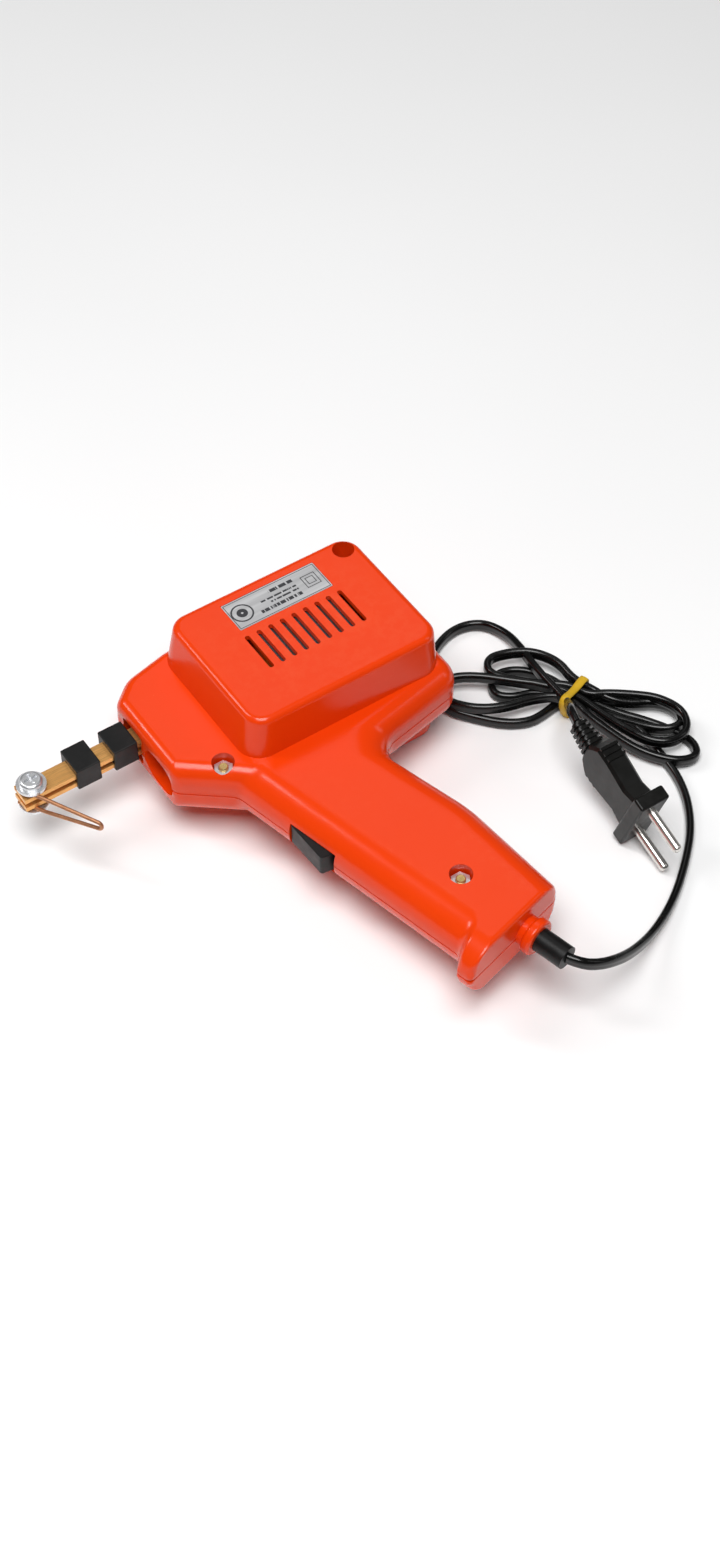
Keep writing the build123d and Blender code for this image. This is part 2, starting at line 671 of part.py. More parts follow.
# The free cord, seen from the part's origin: out of the sleeve, down to the surface and into the
# hank; then out of the hank in one wide loop, over the hank's waist and up to the plug.
LEAD_ROUTE = [
    (*grip(COLLAR_N, SLEEVE_END), MID),
    (-46.1, 105.3, 29.9),
    (-50.9, 108.4, 28.0),
    (-59.7, 109.1, 23.5),
    (-72.2, 106.4, 15.8),
    (-88.7, 99.8, 7.0),
    (-105.8, 90.8, 2.8),
    (-121.7, 79.3, 2.65),
    (-136.9, 65.0, 2.65),
    (-149.2, 48.7, 2.65),
    (-152.3, 28.7, 2.65),
]
TAIL_ROUTE = [
    (-90.2, -41.0, 6.5),
    (-94.0, -57.0, 3.6),
    (-105.5, -71.5, 2.65),
    (-120.5, -77.8, 2.65),
    (-133.0, -74.0, 2.9),
    (-137.0, -61.0, 6.0),
    (-134.0, -48.0, 12.8),
    (-131.2, -33.0, 13.9),
    (-130.5, -18.0, 13.9),
    (-130.0, -8.0, 14.2),
    (-125.0, -1.5, 20.0),
    (-120.5, 4.0, 27.0),
    (-116.6, 8.6, 31.6),
    (-115.0, 14.7, 31.0),
]
PLUG_BACK = TAIL_ROUTE[-1]
PLUG_FACE = (-114.3, 61.0, 17.4)
# Half width of the plug at distances back from its front face: flange, then grip and shoulders.
PLUG_FLANGE = [(0, 16.8), (6.0, 16.8)]
PLUG_GRIP = [(5.0, 12.0), (12.5, 9.4), (24.5, 11.4), (31.5, 11.4), (34.0, 8.6), (36.5, 5.0)]
PLUG_FLANGE_THICK = 13.7
PLUG_GRIP_THICK = 9.8
RELIEF_RIBS = 6
# Corners of the hank's outline and their radii: left lobe, waist, right lobe, waist.
HANK_OUTLINE = [
    ((-90.8, -39.0), 6.0),
    ((-97.0, -49.0), 8.0),
    ((-128.0, -51.0), 12.0),
    ((-141.0, -36.0), 10.0),
    ((-144.6, -16.5), 25.0),
    ((-170.5, 8.0), 12.0),
    ((-170.5, 26.0), 8.0),
    ((-162.5, 41.5), 7.0),
    ((-149.5, 41.0), 7.0),
    ((-138.0, 14.0), 20.0),
    ((-130.4, -12.0), 15.0),
    ((-107.0, -14.0), 12.0),
]
TIE_CENTRE = (-138.3, -13.0)
TIE_AXIS = (0.34, -0.94, 0)
TIE_ACROSS = (0.94, 0.34, 0)
TIE_WIDTH = 3.4
# Section of the band: across the hank and up, with a corner stretched over the last strand.
TIE_SECTION = [(-8.6, 0.0), (8.6, 0.0), (12.6, 10.0), (12.9, 16.0), (10.5, 18.9), (6.0, 18.9), (-8.6, 11.0)]
WAIST = (-7.5, 7.5, 1.1, 9.9)


def cord_radii(route):
    """The largest arcs that the runs of a cord's route allow."""
    radii = []
    for before, here, after in zip(route, route[1:], route[2:]):
        arriving = Vector(*here) - Vector(*before)
        leaving = Vector(*after) - Vector(*here)
        turn = radians(arriving.get_angle(leaving))
        radii.append(0.45 * min(arriving.length, leaving.length) / tan(turn / 2))
    return radii


def cord_tube(name, route):
    """A tube along a stretch of the free cord, straight runs joined by tangent arcs."""
    radii = cord_radii(route)
    start = Vector(*route[0])
    heading = (Vector(*route[1]) - start).normalized()
    with BuildPart() as tube:
        with BuildLine() as path:
            FilletPolyline(*route, radius=radii)
        with BuildSketch(Plane(origin=start, z_dir=heading)):
            Circle(CORD / 2)
        sweep()
    length = sum(edge.length for edge in path.edges())
    section = 3.14159265 * CORD**2 / 4
    print(name, "radii", [round(r, 1) for r in radii])
    print(name, "length", round(length, 1), "volume over section", round(tube.part.volume / section, 1))
    export(tube, name)


def tie_plane(z):
    """The upright plane through the middle of the band."""
    return Plane(origin=(*TIE_CENTRE, z), x_dir=TIE_ACROSS, z_dir=TIE_AXIS)


def tie():
    """The rubber band round the waist of the hank and the strand that lies on it."""
    with BuildPart() as band:
        with BuildSketch(tie_plane(0)):
            with BuildLine():
                FilletPolyline(*TIE_SECTION, radius=1.6, close=True)
            make_face()
            offset(amount=-1.0, mode=Mode.SUBTRACT)
        extrude(amount=TIE_WIDTH / 2, both=True)
    export(band, "cord_tie")


def hank():
    """Outer shape of the coiled cord, waisted where the band holds it."""
    corners = [c for c, _ in HANK_OUTLINE]
    radii = [r for _, r in HANK_OUTLINE]
    left, right, low, high = WAIST
    with BuildPart() as coil_of_cord:
        with BuildSketch():
            with BuildLine():
                FilletPolyline(*corners, radius=radii, close=True)
            make_face()
        extrude(amount=HANK_HEIGHT)
        with BuildSketch(tie_plane((low + high) / 2)):
            Rectangle(40, 30)
            RectangleRounded(right - left, high - low, 2.0, mode=Mode.SUBTRACT)
        extrude(amount=TIE_WIDTH / 2 + 0.1, both=True, mode=Mode.SUBTRACT)
    export(coil_of_cord, "cord_hank")


def plug():
    """Moulded two-pin plug with a ribbed relief, leaning on its lower pin."""
    face = Vector(*PLUG_FACE)
    back = (Vector(*PLUG_BACK) - face).normalized()
    reach = (Vector(*PLUG_BACK) - face).length
    flat = Vector(back.Y, -back.X, 0).normalized()
    rise = flat.cross(back)
    across = (flat.X, flat.Y, flat.Z)
    lying = Plane(origin=PLUG_FACE, x_dir=(back.X, back.Y, back.Z), z_dir=across)
    with BuildPart() as flange:
        with BuildSketch(lying):
            with BuildLine():
                Polyline(*PLUG_FLANGE, *[(s, -w) for s, w in reversed(PLUG_FLANGE)], close=True)
            make_face()
        extrude(amount=PLUG_FLANGE_THICK / 2, both=True)
        fillet(flange.edges(), 1.0)
    with BuildPart() as body:
        with BuildSketch(lying):
            with BuildLine():
                Polyline(*PLUG_GRIP, *[(s, -w) for s, w in reversed(PLUG_GRIP)], close=True)
            make_face()
        extrude(amount=PLUG_GRIP_THICK / 2, both=True)
        chamfer(body.faces().filter_by(Axis((0, 0, 0), across)).edges(), 1.2)
        add(flange.part)
        with BuildSketch(lying):
            with Locations(*[(s, side * 11.0) for s in (25.4, 28.0, 30.6) for side in (-1, 1)]):
                Rectangle(1.2, 2.6)
        extrude(amount=PLUG_GRIP_THICK / 2 - 0.8, both=True)
        start = PLUG_GRIP[-1][0] - 2
        step = (reach - start) / (2 * RELIEF_RIBS)
        for i in range(2 * RELIEF_RIBS):
            at = face + back * (start + i * step)
            with BuildSketch(Plane(origin=at, x_dir=across, z_dir=(back.X, back.Y, back.Z))):
                width = 9.4 - 0.22 * i
                RectangleRounded(width - 2.2 * (i % 2), width + 0.6 - 2.2 * (i % 2), 2.2)
            extrude(amount=step)
    with BuildPart() as pins:
        for side in (-1, 1):
            at = face + rise * (side * PIN_SPACING / 2)
            with BuildSketch(Plane(origin=at, z_dir=(-back.X, -back.Y, -back.Z))):
                Circle(PLUG_PIN / 2)
            extrude(amount=PLUG_PIN_LENGTH)
        fillet(pins.faces().sort_by(Axis.Y)[-2:].edges(), 1.4)
    export(body, "plug_body")
    export(pins, "plug_pins")


def housing():
    upper = housing_half()
    with BuildPart() as lower:
        add(upper.part)
        mirror(about=Plane.XY.offset(MID), mode=Mode.REPLACE)
    export(upper, "housing_upper")
    export(lower, "housing_lower")


if __name__ == "__main__":
    os.makedirs("parts", exist_ok=True)
    bolts_and_nuts()
    rating_plates()
    laminations()
    coil()
    secondary_bar()
    spacer_blocks()
    tip_fasteners()
    tip_wire()
    trigger()
    switch()
    lamp()
    inner_wires()
    sleeve()
    cord_tube("cord_lead", LEAD_ROUTE)
    cord_tube("cord_tail", TAIL_ROUTE)
    hank()
    tie()
    plug()
    housing()
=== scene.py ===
import math

import bmesh
import bpy
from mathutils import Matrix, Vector


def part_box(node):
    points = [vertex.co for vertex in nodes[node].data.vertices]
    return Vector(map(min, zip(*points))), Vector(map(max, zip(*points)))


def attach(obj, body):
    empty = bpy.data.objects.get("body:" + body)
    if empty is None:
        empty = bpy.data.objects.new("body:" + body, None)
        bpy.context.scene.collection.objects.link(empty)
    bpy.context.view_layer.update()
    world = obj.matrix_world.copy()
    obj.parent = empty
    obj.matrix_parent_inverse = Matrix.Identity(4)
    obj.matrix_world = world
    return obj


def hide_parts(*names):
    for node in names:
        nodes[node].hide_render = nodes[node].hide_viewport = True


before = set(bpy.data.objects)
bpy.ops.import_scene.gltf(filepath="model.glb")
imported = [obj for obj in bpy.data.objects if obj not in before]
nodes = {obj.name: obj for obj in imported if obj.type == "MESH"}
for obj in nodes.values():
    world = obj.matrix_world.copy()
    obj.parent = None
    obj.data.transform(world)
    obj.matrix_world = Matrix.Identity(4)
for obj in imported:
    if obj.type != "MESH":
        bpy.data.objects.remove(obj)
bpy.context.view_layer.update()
MM = 0.001


# ---------------------------------------------------------------- materials
class Shade:
    """A node material with one Principled shader, built up by small steps."""

    def __init__(self, name, **sockets):
        self.mat = bpy.data.materials.new(name)
        self.mat.use_nodes = True
        self.tree = self.mat.node_tree
        self.bsdf = self.tree.nodes["Principled BSDF"]
        self.coords = self.tree.nodes.new("ShaderNodeTexCoord").outputs["Object"]
        for key, value in sockets.items():
            self.bsdf.inputs[key.replace("_", " ")].default_value = value
        self.normal = None

    def node(self, kind, **settings):
        n = self.tree.nodes.new(kind)
        for key, value in settings.items():
            setattr(n, key, value)
        return n

    def link(self, a, b):
        self.tree.links.new(a, b)

    def mapped(self, scale, rotate=(0, 0, 0), shift=(0, 0, 0)):
        m = self.node("ShaderNodeMapping")
        m.inputs["Location"].default_value = shift
        m.inputs["Rotation"].default_value = rotate
        m.inputs["Scale"].default_value = scale
        self.link(self.coords, m.inputs["Vector"])
        return m.outputs["Vector"]

    def noise(self, scale, detail=3.0, rough=0.5, stretch=(1, 1, 1), rotate=(0, 0, 0)):
        t = self.node("ShaderNodeTexNoise")
        t.inputs["Scale"].default_value = scale
        t.inputs["Detail"].default_value = detail
        t.inputs["Roughness"].default_value = rough
        self.link(self.mapped(stretch, rotate), t.inputs["Vector"])
        return t.outputs["Fac"]

    def ramp(self, fac, *stops):
        r = self.node("ShaderNodeValToRGB")
        r.color_ramp.elements[0].position = stops[0][0]
        r.color_ramp.elements[0].color = self.rgba(stops[0][1])
        r.color_ramp.elements[1].position = stops[-1][0]
        r.color_ramp.elements[1].color = self.rgba(stops[-1][1])
        for at, colour in stops[1:-1]:
            r.color_ramp.elements.new(at).color = self.rgba(colour)
        self.link(fac, r.inputs["Fac"])
        return r.outputs["Color"]

    @staticmethod
    def rgba(c):
        if isinstance(c, (int, float)):
            c = (c, c, c)
        return (*c[:3], 1.0)

    def mix(self, fac, a, b, mode="MIX"):
        m = self.node("ShaderNodeMix", data_type="RGBA", blend_type=mode)
        self.feed(fac, m.inputs["Factor"])
        self.feed(a, m.inputs[6])
        self.feed(b, m.inputs[7])
        return m.outputs[2]

    def math(self, op, a, b=0.0, c=0.0):
        m = self.node("ShaderNodeMath", operation=op)
        for socket, value in zip(m.inputs, (a, b, c)):
            self.feed(value, socket)
        return m.outputs[0]

    def axis(self, which, vector=None):
        s = self.node("ShaderNodeSeparateXYZ")
        self.link(vector or self.coords, s.inputs[0])
        return s.outputs[which]

    def feed(self, value, socket):
        if hasattr(value, "node"):
            self.link(value, socket)
        elif socket.type == "RGBA":
            socket.default_value = self.rgba(value)
        else:
            socket.default_value = value

    def set(self, name, value):
        self.feed(value, self.bsdf.inputs[name])
        return self

    def bump(self, height, strength, distance):
        b = self.node("ShaderNodeBump")
        b.inputs["Strength"].default_value = strength
        b.inputs["Distance"].default_value = distance
        self.link(height, b.inputs["Height"])
        if self.normal is not None:
            self.link(self.normal, b.inputs["Normal"])
        self.normal = b.outputs["Normal"]
        self.link(self.normal, self.bsdf.inputs["Normal"])
        return self


def edge_wear(s, strength=0.5):
    """Bright where the surface is convex: lightly rubbed edges."""
    g = s.node("ShaderNodeNewGeometry")
    r = s.node("ShaderNodeValToRGB")
    r.color_ramp.elements[0].position = 0.52
    r.color_ramp.elements[1].position = 0.62
    s.link(g.outputs["Pointiness"], r.inputs["Fac"])
    patch = s.ramp(s.noise(260, 4, 0.6), (0.45, 0.0), (0.62, strength))
    return s.mix(1.0, r.outputs["Color"], patch, "MULTIPLY")


def orange_plastic():
    s = Shade("orange_plastic", Roughness=0.2, Specular_IOR_Level=0.32, Coat_Weight=0.05, Coat_Roughness=0.05)
    cloud = s.noise(14, 3, 0.5)
    base = s.ramp(cloud, (0.3, (0.77, 0.043, 0.001)), (0.7, (0.79, 0.048, 0.0015)))
    specks = s.ramp(s.noise(900, 2, 0.6), (0.76, 0.0), (0.82, 0.10))
    base = s.mix(specks, base, (0.95, 0.42, 0.25))
    base = s.mix(edge_wear(s, 0.04), base, (0.98, 0.35, 0.16))
    s.set("Base Color", base)
    s.set("Roughness", s.ramp(s.noise(60, 4, 0.6), (0.3, 0.19), (0.7, 0.24)))
    s.bump(s.noise(30, 1, 0.4), 0.035, 0.0006)
    s.bump(s.noise(1400, 2, 0.5), 0.05, 0.00008)
    streaks = s.noise(90, 6, 0.7, stretch=(1, 9, 1), rotate=(0, 0, 0.5))
    scratch = s.ramp(streaks, (0.70, 0.0), (0.76, 1.0))
    s.bump(scratch, 0.06, 0.00008)
    return s.mat


def copper(name, colour, along=(1, 14, 14), rough=(0.3, 0.46)):
    s = Shade(name, Metallic=0.8, Roughness=0.3)
    streak = s.noise(130, 5, 0.65, stretch=along)
    stain = s.noise(45, 4, 0.6)
    dark = tuple(v * 0.74 for v in colour)
    light = tuple(min(1.0, v * 1.16 + 0.03) for v in colour)
    base = s.ramp(streak, (0.3, dark), (0.55, colour), (0.75, light))
    base = s.mix(s.ramp(stain, (0.52, 0.0), (0.75, 0.45)), base, tuple(v * 0.6 for v in colour))
    s.set("Base Color", base)
    s.set("Roughness", s.ramp(streak, (0.3, rough[1]), (0.7, rough[0])))
    s.bump(streak, 0.12, 0.0001)
    return s.mat


def zinc(name="zinc", colour=(0.80, 0.81, 0.83), rough=(0.24, 0.38)):
    s = Shade(name, Metallic=0.85, Roughness=0.3)
    n = s.noise(300, 4, 0.6)
    s.set("Base Color", s.ramp(n, (0.3, tuple(v * 0.88 for v in colour)), (0.7, colour)))
    s.set("Roughness", s.ramp(s.noise(500, 3, 0.6), (0.3, rough[0]), (0.7, rough[1])))
    s.bump(s.noise(700, 2, 0.5), 0.04, 0.00006)
    return s.mat


def moulded(name, colour, rough, grain=900, bump=0.12, coat=0.0, spec=0.5, vary=0.35):
    """Moulded plastic or rubber: fine grain, slight cloudiness and rubbed edges."""
    s = Shade(name, Roughness=rough, Coat_Weight=coat, Coat_Roughness=0.1)
    s.bsdf.inputs["Specular IOR Level"].default_value = spec
    cloud = s.noise(70, 4, 0.6)
    light = tuple(min(1.0, v * (1 + vary) + 0.001) for v in colour)
    base = s.ramp(cloud, (0.35, colour), (0.7, light))
    base = s.mix(edge_wear(s, 0.3), base, tuple(min(1.0, v * 1.6 + 0.012) for v in colour))
    s.set("Base Color", base)
    s.set("Roughness", s.ramp(s.noise(180, 3, 0.6), (0.3, rough * 0.85), (0.7, min(1.0, rough * 1.2))))
    s.bump(s.noise(grain, 3, 0.6), bump, 0.0001)
    return s.mat


def cord_pvc():
    s = Shade("cord_pvc", Roughness=0.18, Specular_IOR_Level=0.35, Coat_Weight=0.05, Coat_Roughness=0.08)
    cloud = s.noise(35, 3, 0.5)
    s.set("Base Color", s.ramp(cloud, (0.3, (0.002, 0.002, 0.002)), (0.7, (0.004, 0.004, 0.0038))))
    s.set("Roughness", s.ramp(s.noise(120, 4, 0.6), (0.35, 0.15), (0.7, 0.32)))
    s.bump(s.noise(220, 2, 0.5), 0.08, 0.0002)
    return s.mat


def foil_label():
    """Brushed silver plate: thin dark frame, a round mark, plain bars and a double square."""
    lo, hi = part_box("rating_plate_upper")
    s = Shade("foil_label", Metallic=0.5, Roughness=0.36)
    brush = s.noise(220, 4, 0.6, stretch=(0.06, 1.6, 1))
    silver = s.ramp(brush, (0.3, (0.50, 0.50, 0.51)), (0.7, (0.72, 0.72, 0.73)))
    x = s.math("DIVIDE", s.math("SUBTRACT", s.axis(0), lo.x), hi.x - lo.x)
    y = s.math("DIVIDE", s.math("SUBTRACT", s.axis(1), lo.y), hi.y - lo.y)
    wide, tall = (hi.x - lo.x) / MM, (hi.y - lo.y) / MM

    def near(value, centre, half):
        return s.math("LESS_THAN", s.math("ABSOLUTE", s.math("SUBTRACT", value, centre)), half)

    def block(cx, cy, hx, hy):
        return s.math("MULTIPLY", near(x, cx, hx), near(y, cy, hy))

    def frame_of(cx, cy, hx, hy, line):
        inner = block(cx, cy, hx - line / wide, hy - line / tall)
        return s.math("SUBTRACT", block(cx, cy, hx, hy), inner)

    dx = s.math("MULTIPLY", s.math("SUBTRACT", x, 0.875), wide)
    dy = s.math("MULTIPLY", s.math("SUBTRACT", y, 0.5), tall)
    radius = s.math("SQRT", s.math("ADD", s.math("MULTIPLY", dx, dx), s.math("MULTIPLY", dy, dy)))
    ink = near(radius, 4.4, 0.35)
    ink = s.math("MAXIMUM", ink, near(radius, 1.4, 0.9))
    ink = s.math("MAXIMUM", ink, frame_of(0.5, 0.5, 0.49, 0.465, 0.3))
    bars = (
        (0.76, 0.22, 0.055, 0.50),
        (0.58, 0.15, 0.03, 0.43),
        (0.45, 0.20, 0.03, 0.48),
        (0.24, 0.13, 0.055, 0.41),
    )
    for cy, hx, hy, cx in bars:
        gaps = s.node("ShaderNodeTexNoise", noise_dimensions="1D")
        gaps.inputs["Scale"].default_value = 30.0
        s.link(s.math("ADD", x, cy * 7), gaps.inputs["W"])
        bar = s.math("MULTIPLY", block(cx, cy, hx, hy), s.math("GREATER_THAN", gaps.outputs["Fac"], 0.43))
        ink = s.math("MAXIMUM", ink, bar)
    ink = s.math("MAXIMUM", ink, frame_of(0.13, 0.5, 0.075, 0.22, 0.35))
    ink = s.math("MAXIMUM", ink, frame_of(0.13, 0.5, 0.043, 0.125, 0.35))
    s.set("Base Color", s.mix(ink, silver, (0.035, 0.035, 0.04)))
    s.set("Metallic", s.math("MULTIPLY", s.math("SUBTRACT", 1.0, ink), 0.5))
    s.set("Roughness", s.ramp(brush, (0.3, 0.42), (0.7, 0.28)))
    s.bump(brush, 0.06, 0.00005)
    return s.mat


def laminations():
    s = Shade("lamination_steel", Metallic=0.85, Roughness=0.45)
    wave = s.node("ShaderNodeTexWave", wave_type="BANDS", bands_direction="X", wave_profile="SAW")
    wave.inputs["Scale"].default_value = 318.0
    s.link(s.coords, wave.inputs["Vector"])
    rust = s.ramp(s.noise(160, 5, 0.65), (0.52, 0.0), (0.70, 0.7))
    base = s.mix(rust, (0.16, 0.16, 0.17), (0.22, 0.11, 0.06))
    gap = s.ramp(wave.outputs["Fac"], (0.0, 1.0), (0.22, 0.0))
    s.set("Base Color", s.mix(gap, base, (0.03, 0.03, 0.03)))
    s.bump(wave.outputs["Fac"], 0.4, 0.0002)
    return s.mat


def enamel_wire():
    s = Shade("enamelled_copper", Metallic=0.4, Roughness=0.3, Coat_Weight=0.8)
    wave = s.node("ShaderNodeTexWave", wave_type="BANDS", bands_direction="Y")
    wave.inputs["Scale"].default_value = 900.0
    s.link(s.coords, wave.inputs["Vector"])
    s.set("Base Color", s.ramp(wave.outputs["Fac"], (0.2, (0.12, 0.03, 0.01)), (0.7, (0.42, 0.13, 0.05))))
    s.bump(wave.outputs["Fac"], 0.5, 0.0001)
    return s.mat


def clear_glass():
    s = Shade("clear_glass", Roughness=0.03, IOR=1.5, Transmission_Weight=1.0)
    s.set("Base Color", s.ramp(s.noise(120, 2, 0.5), (0.3, (0.93, 0.95, 0.94)), (0.7, (0.98, 0.99, 0.98))))
    s.bump(s.noise(300, 2, 0.5), 0.05, 0.0001)
    return s.mat


orange = orange_plastic()
black = moulded("black_plastic", (0.006, 0.006, 0.006), 0.42, spec=0.3)
rubber = moulded("black_rubber", (0.004, 0.004, 0.004), 0.36, grain=1500, spec=0.3)
plug_pvc = moulded("plug_pvc", (0.003, 0.003, 0.0025), 0.34, grain=1200, spec=0.25)
zinc_plate = zinc()
brass = zinc("brass_plated", (0.70, 0.50, 0.20), (0.2, 0.4))
tinned = zinc("tinned_brass", (0.66, 0.60, 0.45))
nickel = zinc("nickel", (0.80, 0.77, 0.73), (0.08, 0.2))
nylon = moulded("nylon", (0.55, 0.52, 0.44), 0.5, vary=0.1)
bar_copper = copper("bare_copper", (0.90, 0.47, 0.15))
tip_copper = copper("tip_copper", (0.52, 0.24, 0.12), along=(3, 3, 3), rough=(0.3, 0.5))
LOOKS = {
    orange: ["housing_upper", "housing_lower"],
    foil_label(): ["rating_plate_upper", "rating_plate_lower"],
    brass: ["housing_bolts"],
    zinc_plate: ["housing_nuts", "tip_screws", "tip_washers", "trigger_pin"],
    laminations(): ["core_e_stack", "core_i_stack"],
    nylon: ["bobbin", "lamp_holder", "switch_plunger"],
    enamel_wire(): ["primary_winding"],
    moulded("yellow_tape", (0.75, 0.50, 0.08), 0.35, grain=300, vary=0.15): ["winding_tape"],
    tinned: ["solder_tags", "lamp_cap", "switch_terminals"],
    bar_copper: ["secondary_bar"],
    tip_copper: ["tip_wire"],
    black: ["spacer_block_inner", "spacer_block_outer", "trigger", "switch_case"],
    clear_glass(): ["lamp_bulb"],
    moulded("white_insulation", (0.6, 0.6, 0.57), 0.4): ["lamp_wire_a", "lamp_wire_b"],
    moulded("brown_insulation", (0.10, 0.035, 0.015), 0.35): ["wire_live", "wire_switched"],
    moulded("blue_insulation", (0.02, 0.08, 0.33), 0.35): ["wire_neutral"],
    rubber: ["cord_sleeve"],
    plug_pvc: ["plug_body"],
    nickel: ["plug_pins"],
}
for material, names in LOOKS.items():
    for name in names:
        mesh = nodes[name].data
        mesh.materials.clear()
        mesh.materials.append(material)

# ---------------------------------------------------------------- cord
# Route in millimetres: out of the sleeve, down to the floor and under the hank; the turns of the
# hank, each through the band; then the wide loop and over the band to the plug.
LEAD = [
    (-43.94, 101.65, 30.0),
    (-46.1, 105.3, 29.9),
    (-50.9, 108.4, 28.0),
    (-59.7, 109.1, 23.5),
    (-72.2, 106.4, 15.8),
    (-88.7, 99.8, 7.0),
    (-105.8, 90.8, 2.8),
    (-121.7, 79.3, 2.65),
    (-136.9, 65.0, 2.65),
    (-147.0, 47.0, 2.65),
    (-149.5, 28.0, 2.65),
]
TIE_CENTRE = (-138.3, -13.0)
TIE_AXIS = (-0.34, 0.94)
LOW, HIGH = 2.65, 7.95


def through(offset, z, rightwards=True):
    """Two points of a pass through the band, `offset` across it."""
    ax, ay = TIE_AXIS
    points = []
    for along in (-5.0, 5.0):
        x = TIE_CENTRE[0] + ay * offset + ax * along
        y = TIE_CENTRE[1] - ax * offset + ay * along
        points.append((x, y, z))
    return points if rightwards else points[::-1]


TURNS = [
    (-150.5, 11.0, LOW), (-144.0, -1.5, LOW),
    *through(4.6, LOW, False),
    (-124.0, -14.5, LOW), (-115.0, -14.0, LOW), (-105.5, -19.5, LOW), (-97.0, -29.5, LOW),
    (-90.5, -38.0, 3.5), (-90.0, -47.5, 5.5), (-98.5, -49.5, 7.5), (-108.5, -43.5, HIGH),
    (-118.5, -33.5, HIGH), (-127.5, -25.0, HIGH),
    *through(-1.0, HIGH),
    (-147.5, -5.5, HIGH), (-156.5, 1.5, HIGH), (-164.3, 8.8, HIGH), (-168.3, 19.7, HIGH),
    (-163.8, 29.0, HIGH), (-154.5, 31.0, HIGH), (-146.5, 25.0, HIGH), (-142.0, 12.5, HIGH),
    (-139.0, 1.0, HIGH),
    *through(2.6, HIGH, False),
    (-126.0, -26.5, HIGH), (-119.0, -34.0, HIGH), (-113.5, -42.0, HIGH), (-118.0, -48.5, HIGH),
    (-127.0, -46.5, HIGH), (-136.5, -41.0, HIGH), (-142.0, -30.5, HIGH),
    *through(-4.6, HIGH),
    (-147.5, -2.5, 6.5), (-155.0, 3.5, 5.2), (-163.5, 8.0, 5.2), (-168.3, 15.5, 5.2),
    (-165.5, 24.0, 5.2), (-156.5, 22.0, 4.8), (-146.0, 6.0, 3.2),
    *through(1.1, LOW, False),
    (-126.5, -26.0, LOW), (-117.0, -28.5, LOW), (-111.0, -34.5, LOW), (-116.0, -43.0, LOW),
    (-126.5, -41.5, LOW), (-135.0, -32.0, LOW),
    *through(-2.6, LOW),
    (-147.5, 2.0, LOW), (-155.0, 12.0, LOW), (-161.0, 22.5, LOW), (-164.5, 32.5, LOW),
    (-160.3, 40.0, 3.5), (-150.5, 37.5, 4.5), (-141.0, 24.5, 5.0), (-136.2, 8.0, 6.5),
    (-134.0, -1.0, 7.6),
    *through(6.2, HIGH, False),
    (-120.0, -20.5, HIGH), (-108.0, -23.0, HIGH), (-97.0, -29.5, HIGH),
]
TAIL = [
    (-90.2, -41.0, 6.5),
    (-94.0, -57.0, 3.6),
    (-103.5, -68.3, 2.65),
    (-118.3, -74.2, 2.65),
    (-130.8, -70.6, 2.9),
    (-135.3, -58.5, 4.6),
    (-134.0, -46.0, 7.0),
    (-131.2, -33.0, 9.0),
    (-130.5, -18.0, 9.8),
    (-130.0, -8.0, 10.6),
    (-125.0, -1.5, 18.0),
    (-120.5, 4.0, 26.0),
    (-116.6, 8.6, 31.4),
    (-115.0, 14.7, 31.0),
]


def flat_profile(wide, thick):
    """Section of the flat twin cord: two joined round cores, standing on edge."""
    curve = bpy.data.curves.new("cord_profile", "CURVE")
    spline = curve.splines.new("POLY")
    core = thick / 2
    points = []
    for side in (1, -1):
        centre = side * (wide / 2 - core)
        for i in range(9):
            angle = math.radians(-20 + i * 220 / 8) if side > 0 else math.radians(160 + i * 220 / 8)
            points.append((core * math.cos(angle), centre + core * math.sin(angle)))
    spline.points.add(len(points) - 1)
    for p, (x, y) in zip(spline.points, points):
        p.co = (x * MM, y * MM, 0, 1)
    spline.use_cyclic_u = True
    obj = bpy.data.objects.new("cord_profile", curve)
    return obj


def cord_curve(name, route, profile, resolution=10):
    curve = bpy.data.curves.new(name, "CURVE")
    curve.dimensions = "3D"
    spline = curve.splines.new("NURBS")
    spline.points.add(len(route) - 1)
    for p, (x, y, z) in zip(spline.points, route):
        p.co = (x * MM, y * MM, z * MM, 1)
    spline.order_u = 3
    spline.use_endpoint_u = True
    spline.resolution_u = resolution
    curve.twist_mode = "Z_UP"
    curve.bevel_mode = "OBJECT"
    curve.bevel_object = profile
    curve.use_fill_caps = True
    obj = bpy.data.objects.new(name, curve)
    bpy.context.scene.collection.objects.link(obj)
    return obj


CORD_WIDTH, CORD_THICK = 5.2, 3.2
profile = flat_profile(CORD_WIDTH, CORD_THICK)
bpy.context.scene.collection.objects.link(profile)
profile.hide_render = True
flex = cord_curve("cord", LEAD + TURNS + TAIL, profile)
flex.data.materials.append(cord_pvc())
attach(flex, "gun")
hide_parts("cord_lead", "cord_tail", "cord_hank")


# The band: its line across the hank and up, and its section across its width and through it.
BAND_LINE = [
    (-6.9, 0.5), (-1.0, 0.45), (7.6, 0.5), (10.6, 6.5), (11.3, 10.5), (10.4, 12.9),
    (8.6, 13.3), (5.6, 12.2), (1.0, 11.1), (-4.6, 10.9), (-6.9, 9.8), (-7.3, 5.0),
]
BAND_SECTION = [
    (-1, 0.0), (-0.92, 0.42), (0.0, 0.62), (0.92, 0.42),
    (1, 0.0), (0.92, -0.42), (0.0, -0.5), (-0.92, -0.42),
]
BAND_STEPS = 72
BAND_HALF_WIDTH = 1.75
FLOOR_GAP = 0.05


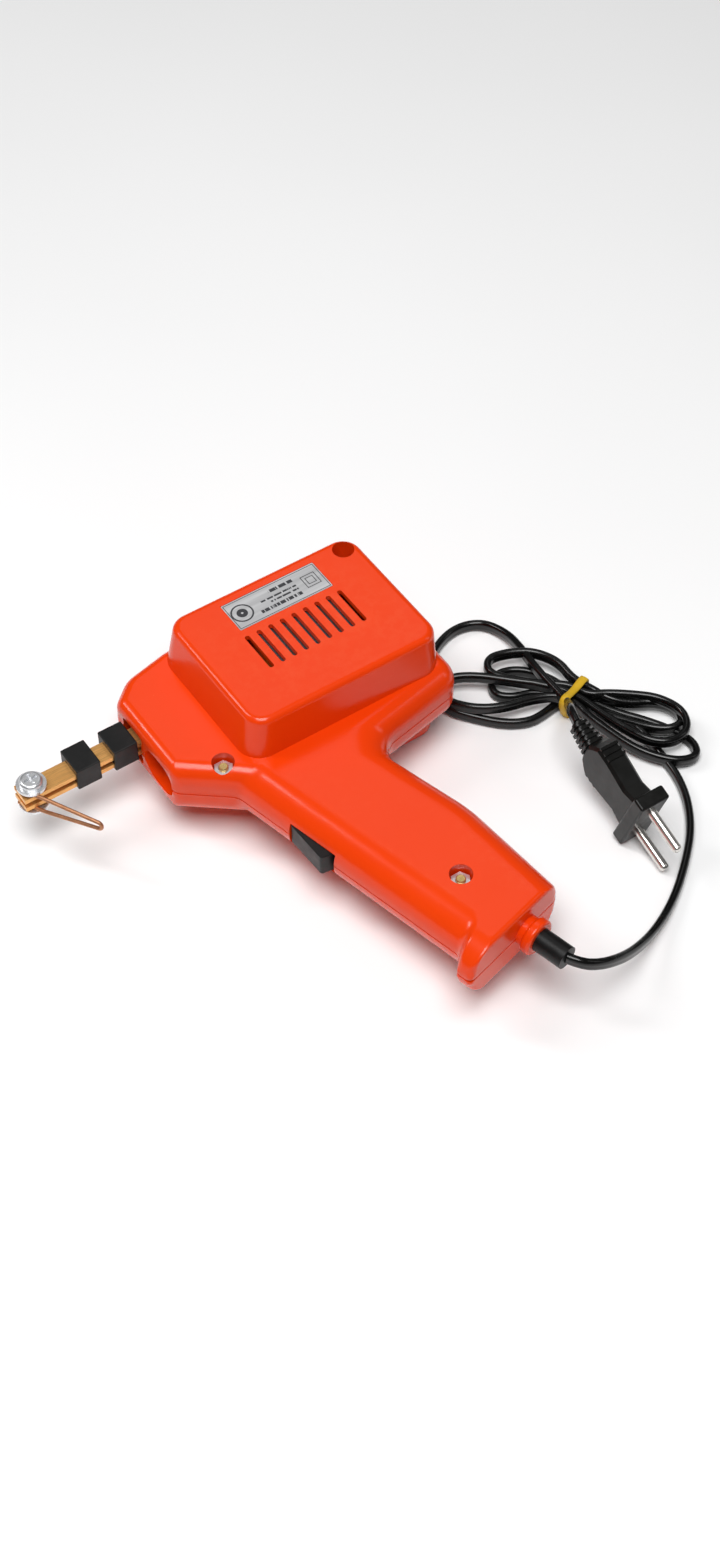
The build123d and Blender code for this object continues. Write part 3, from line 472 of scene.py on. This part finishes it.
def rubber_band():
    """Yellow rubber band drawn round the waist of the hank and over its last strand."""
    ax, ay = TIE_AXIS
    lines = []
    count = BAND_STEPS
    for i in range(count):
        at = i * len(BAND_LINE) / count
        k, f = int(at), at - int(at)
        a, b, c, d = (Vector(BAND_LINE[(k + j) % len(BAND_LINE)]) for j in (-1, 0, 1, 2))
        curved = (2 * a - 5 * b + 4 * c - d) * f * f + (3 * b - a - 3 * c + d) * f ** 3
        lines.append(0.5 * ((2 * b) + (c - a) * f + curved))
    mesh = bpy.data.meshes.new("rubber_band")
    bm = bmesh.new()
    rings = []
    for i, here in enumerate(lines):
        ahead = (lines[(i + 1) % count] - lines[i - 1]).normalized()
        out = Vector((ahead.y, -ahead.x))
        turn = 2 * math.pi * i / count
        drift = 0.35 * math.sin(turn) + 0.2 * math.sin(2 * turn + 1)
        half = BAND_HALF_WIDTH + 0.12 * math.sin(3 * turn)
        ring = []
        for side, depth in BAND_SECTION:
            p = here + out * depth
            along = side * half + drift
            x = TIE_CENTRE[0] + ay * p.x + ax * along
            y = TIE_CENTRE[1] - ax * p.x + ay * along
            ring.append(bm.verts.new((x * MM, y * MM, max(p.y, FLOOR_GAP) * MM)))
        rings.append(ring)
    for a, b in zip(rings, rings[1:] + rings[:1]):
        for j in range(len(BAND_SECTION)):
            k = (j + 1) % len(BAND_SECTION)
            bm.faces.new((a[j], a[k], b[k], b[j]))
    bmesh.ops.recalc_face_normals(bm, faces=bm.faces)
    bm.to_mesh(mesh)
    bm.free()
    for poly in mesh.polygons:
        poly.use_smooth = True
    obj = bpy.data.objects.new("rubber_band", mesh)
    bpy.context.scene.collection.objects.link(obj)
    yellow = moulded("yellow_rubber", (0.55, 0.34, 0.015), 0.5, grain=700, bump=0.2, spec=0.3, vary=0.25)
    mesh.materials.append(yellow)
    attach(obj, "gun")
    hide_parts("cord_tie")
    return obj


band = rubber_band()

# ---------------------------------------------------------------- floor, light, camera
bpy.ops.mesh.primitive_plane_add(size=8.0, location=(0, 0, 0))
floor = bpy.context.object
floor.name = "floor"
s = Shade("floor_white", Roughness=0.6)
s.set("Base Color", s.ramp(s.noise(3, 2, 0.5), (0.3, (0.90, 0.90, 0.90)), (0.7, (0.93, 0.93, 0.93))))
floor.data.materials.append(s.mat)

world = bpy.data.worlds.new("studio")
world.use_nodes = True
world.node_tree.nodes["Background"].inputs["Color"].default_value = (1, 1, 1, 1)
world.node_tree.nodes["Background"].inputs["Strength"].default_value = 0.08
bpy.context.scene.world = world


def softbox(name, place, aim, size, power):
    light = bpy.data.lights.new(name, "AREA")
    light.shape = "RECTANGLE"
    light.size, light.size_y = size
    light.energy = power
    obj = bpy.data.objects.new(name, light)
    obj.location = place
    obj.rotation_euler = (Vector(aim) - Vector(place)).to_track_quat("-Z", "Y").to_euler()
    bpy.context.scene.collection.objects.link(obj)


softbox("top", (0.3, 0.4, 1.7), (-0.03, 0, 0), (1.0, 1.0), 31)
softbox("key", (0.65, -0.8, 1.15), (0, 0, 0.02), (0.22, 0.7), 5.5)
softbox("back", (-0.75, -1.0, 1.6), (0, 0, 0.03), (0.9, 0.7), 1.6)
softbox("side", (-0.9, 0.5, 0.7), (-0.1, 0, 0.03), (0.15, 0.6), 0.7)

AZIMUTH, ELEVATION, DISTANCE = math.radians(145.89), math.radians(51.55), 0.89599
back = Vector((
    math.sin(AZIMUTH) * math.cos(ELEVATION),
    -math.cos(AZIMUTH) * math.cos(ELEVATION),
    math.sin(ELEVATION),
))
target = Vector((-0.02773, -0.01042, 0.030))
camera = bpy.data.cameras.new("camera")
camera.sensor_width = 36.0
camera.lens = 52.93
camera_object = bpy.data.objects.new("camera", camera)
camera_object.location = target + back * DISTANCE
camera_object.rotation_euler = (-back).to_track_quat("-Z", "Y").to_euler()
bpy.context.scene.collection.objects.link(camera_object)
bpy.context.scene.camera = camera_object
bpy.context.scene.view_settings.view_transform = "Standard"

bpy.context.view_layer.update()
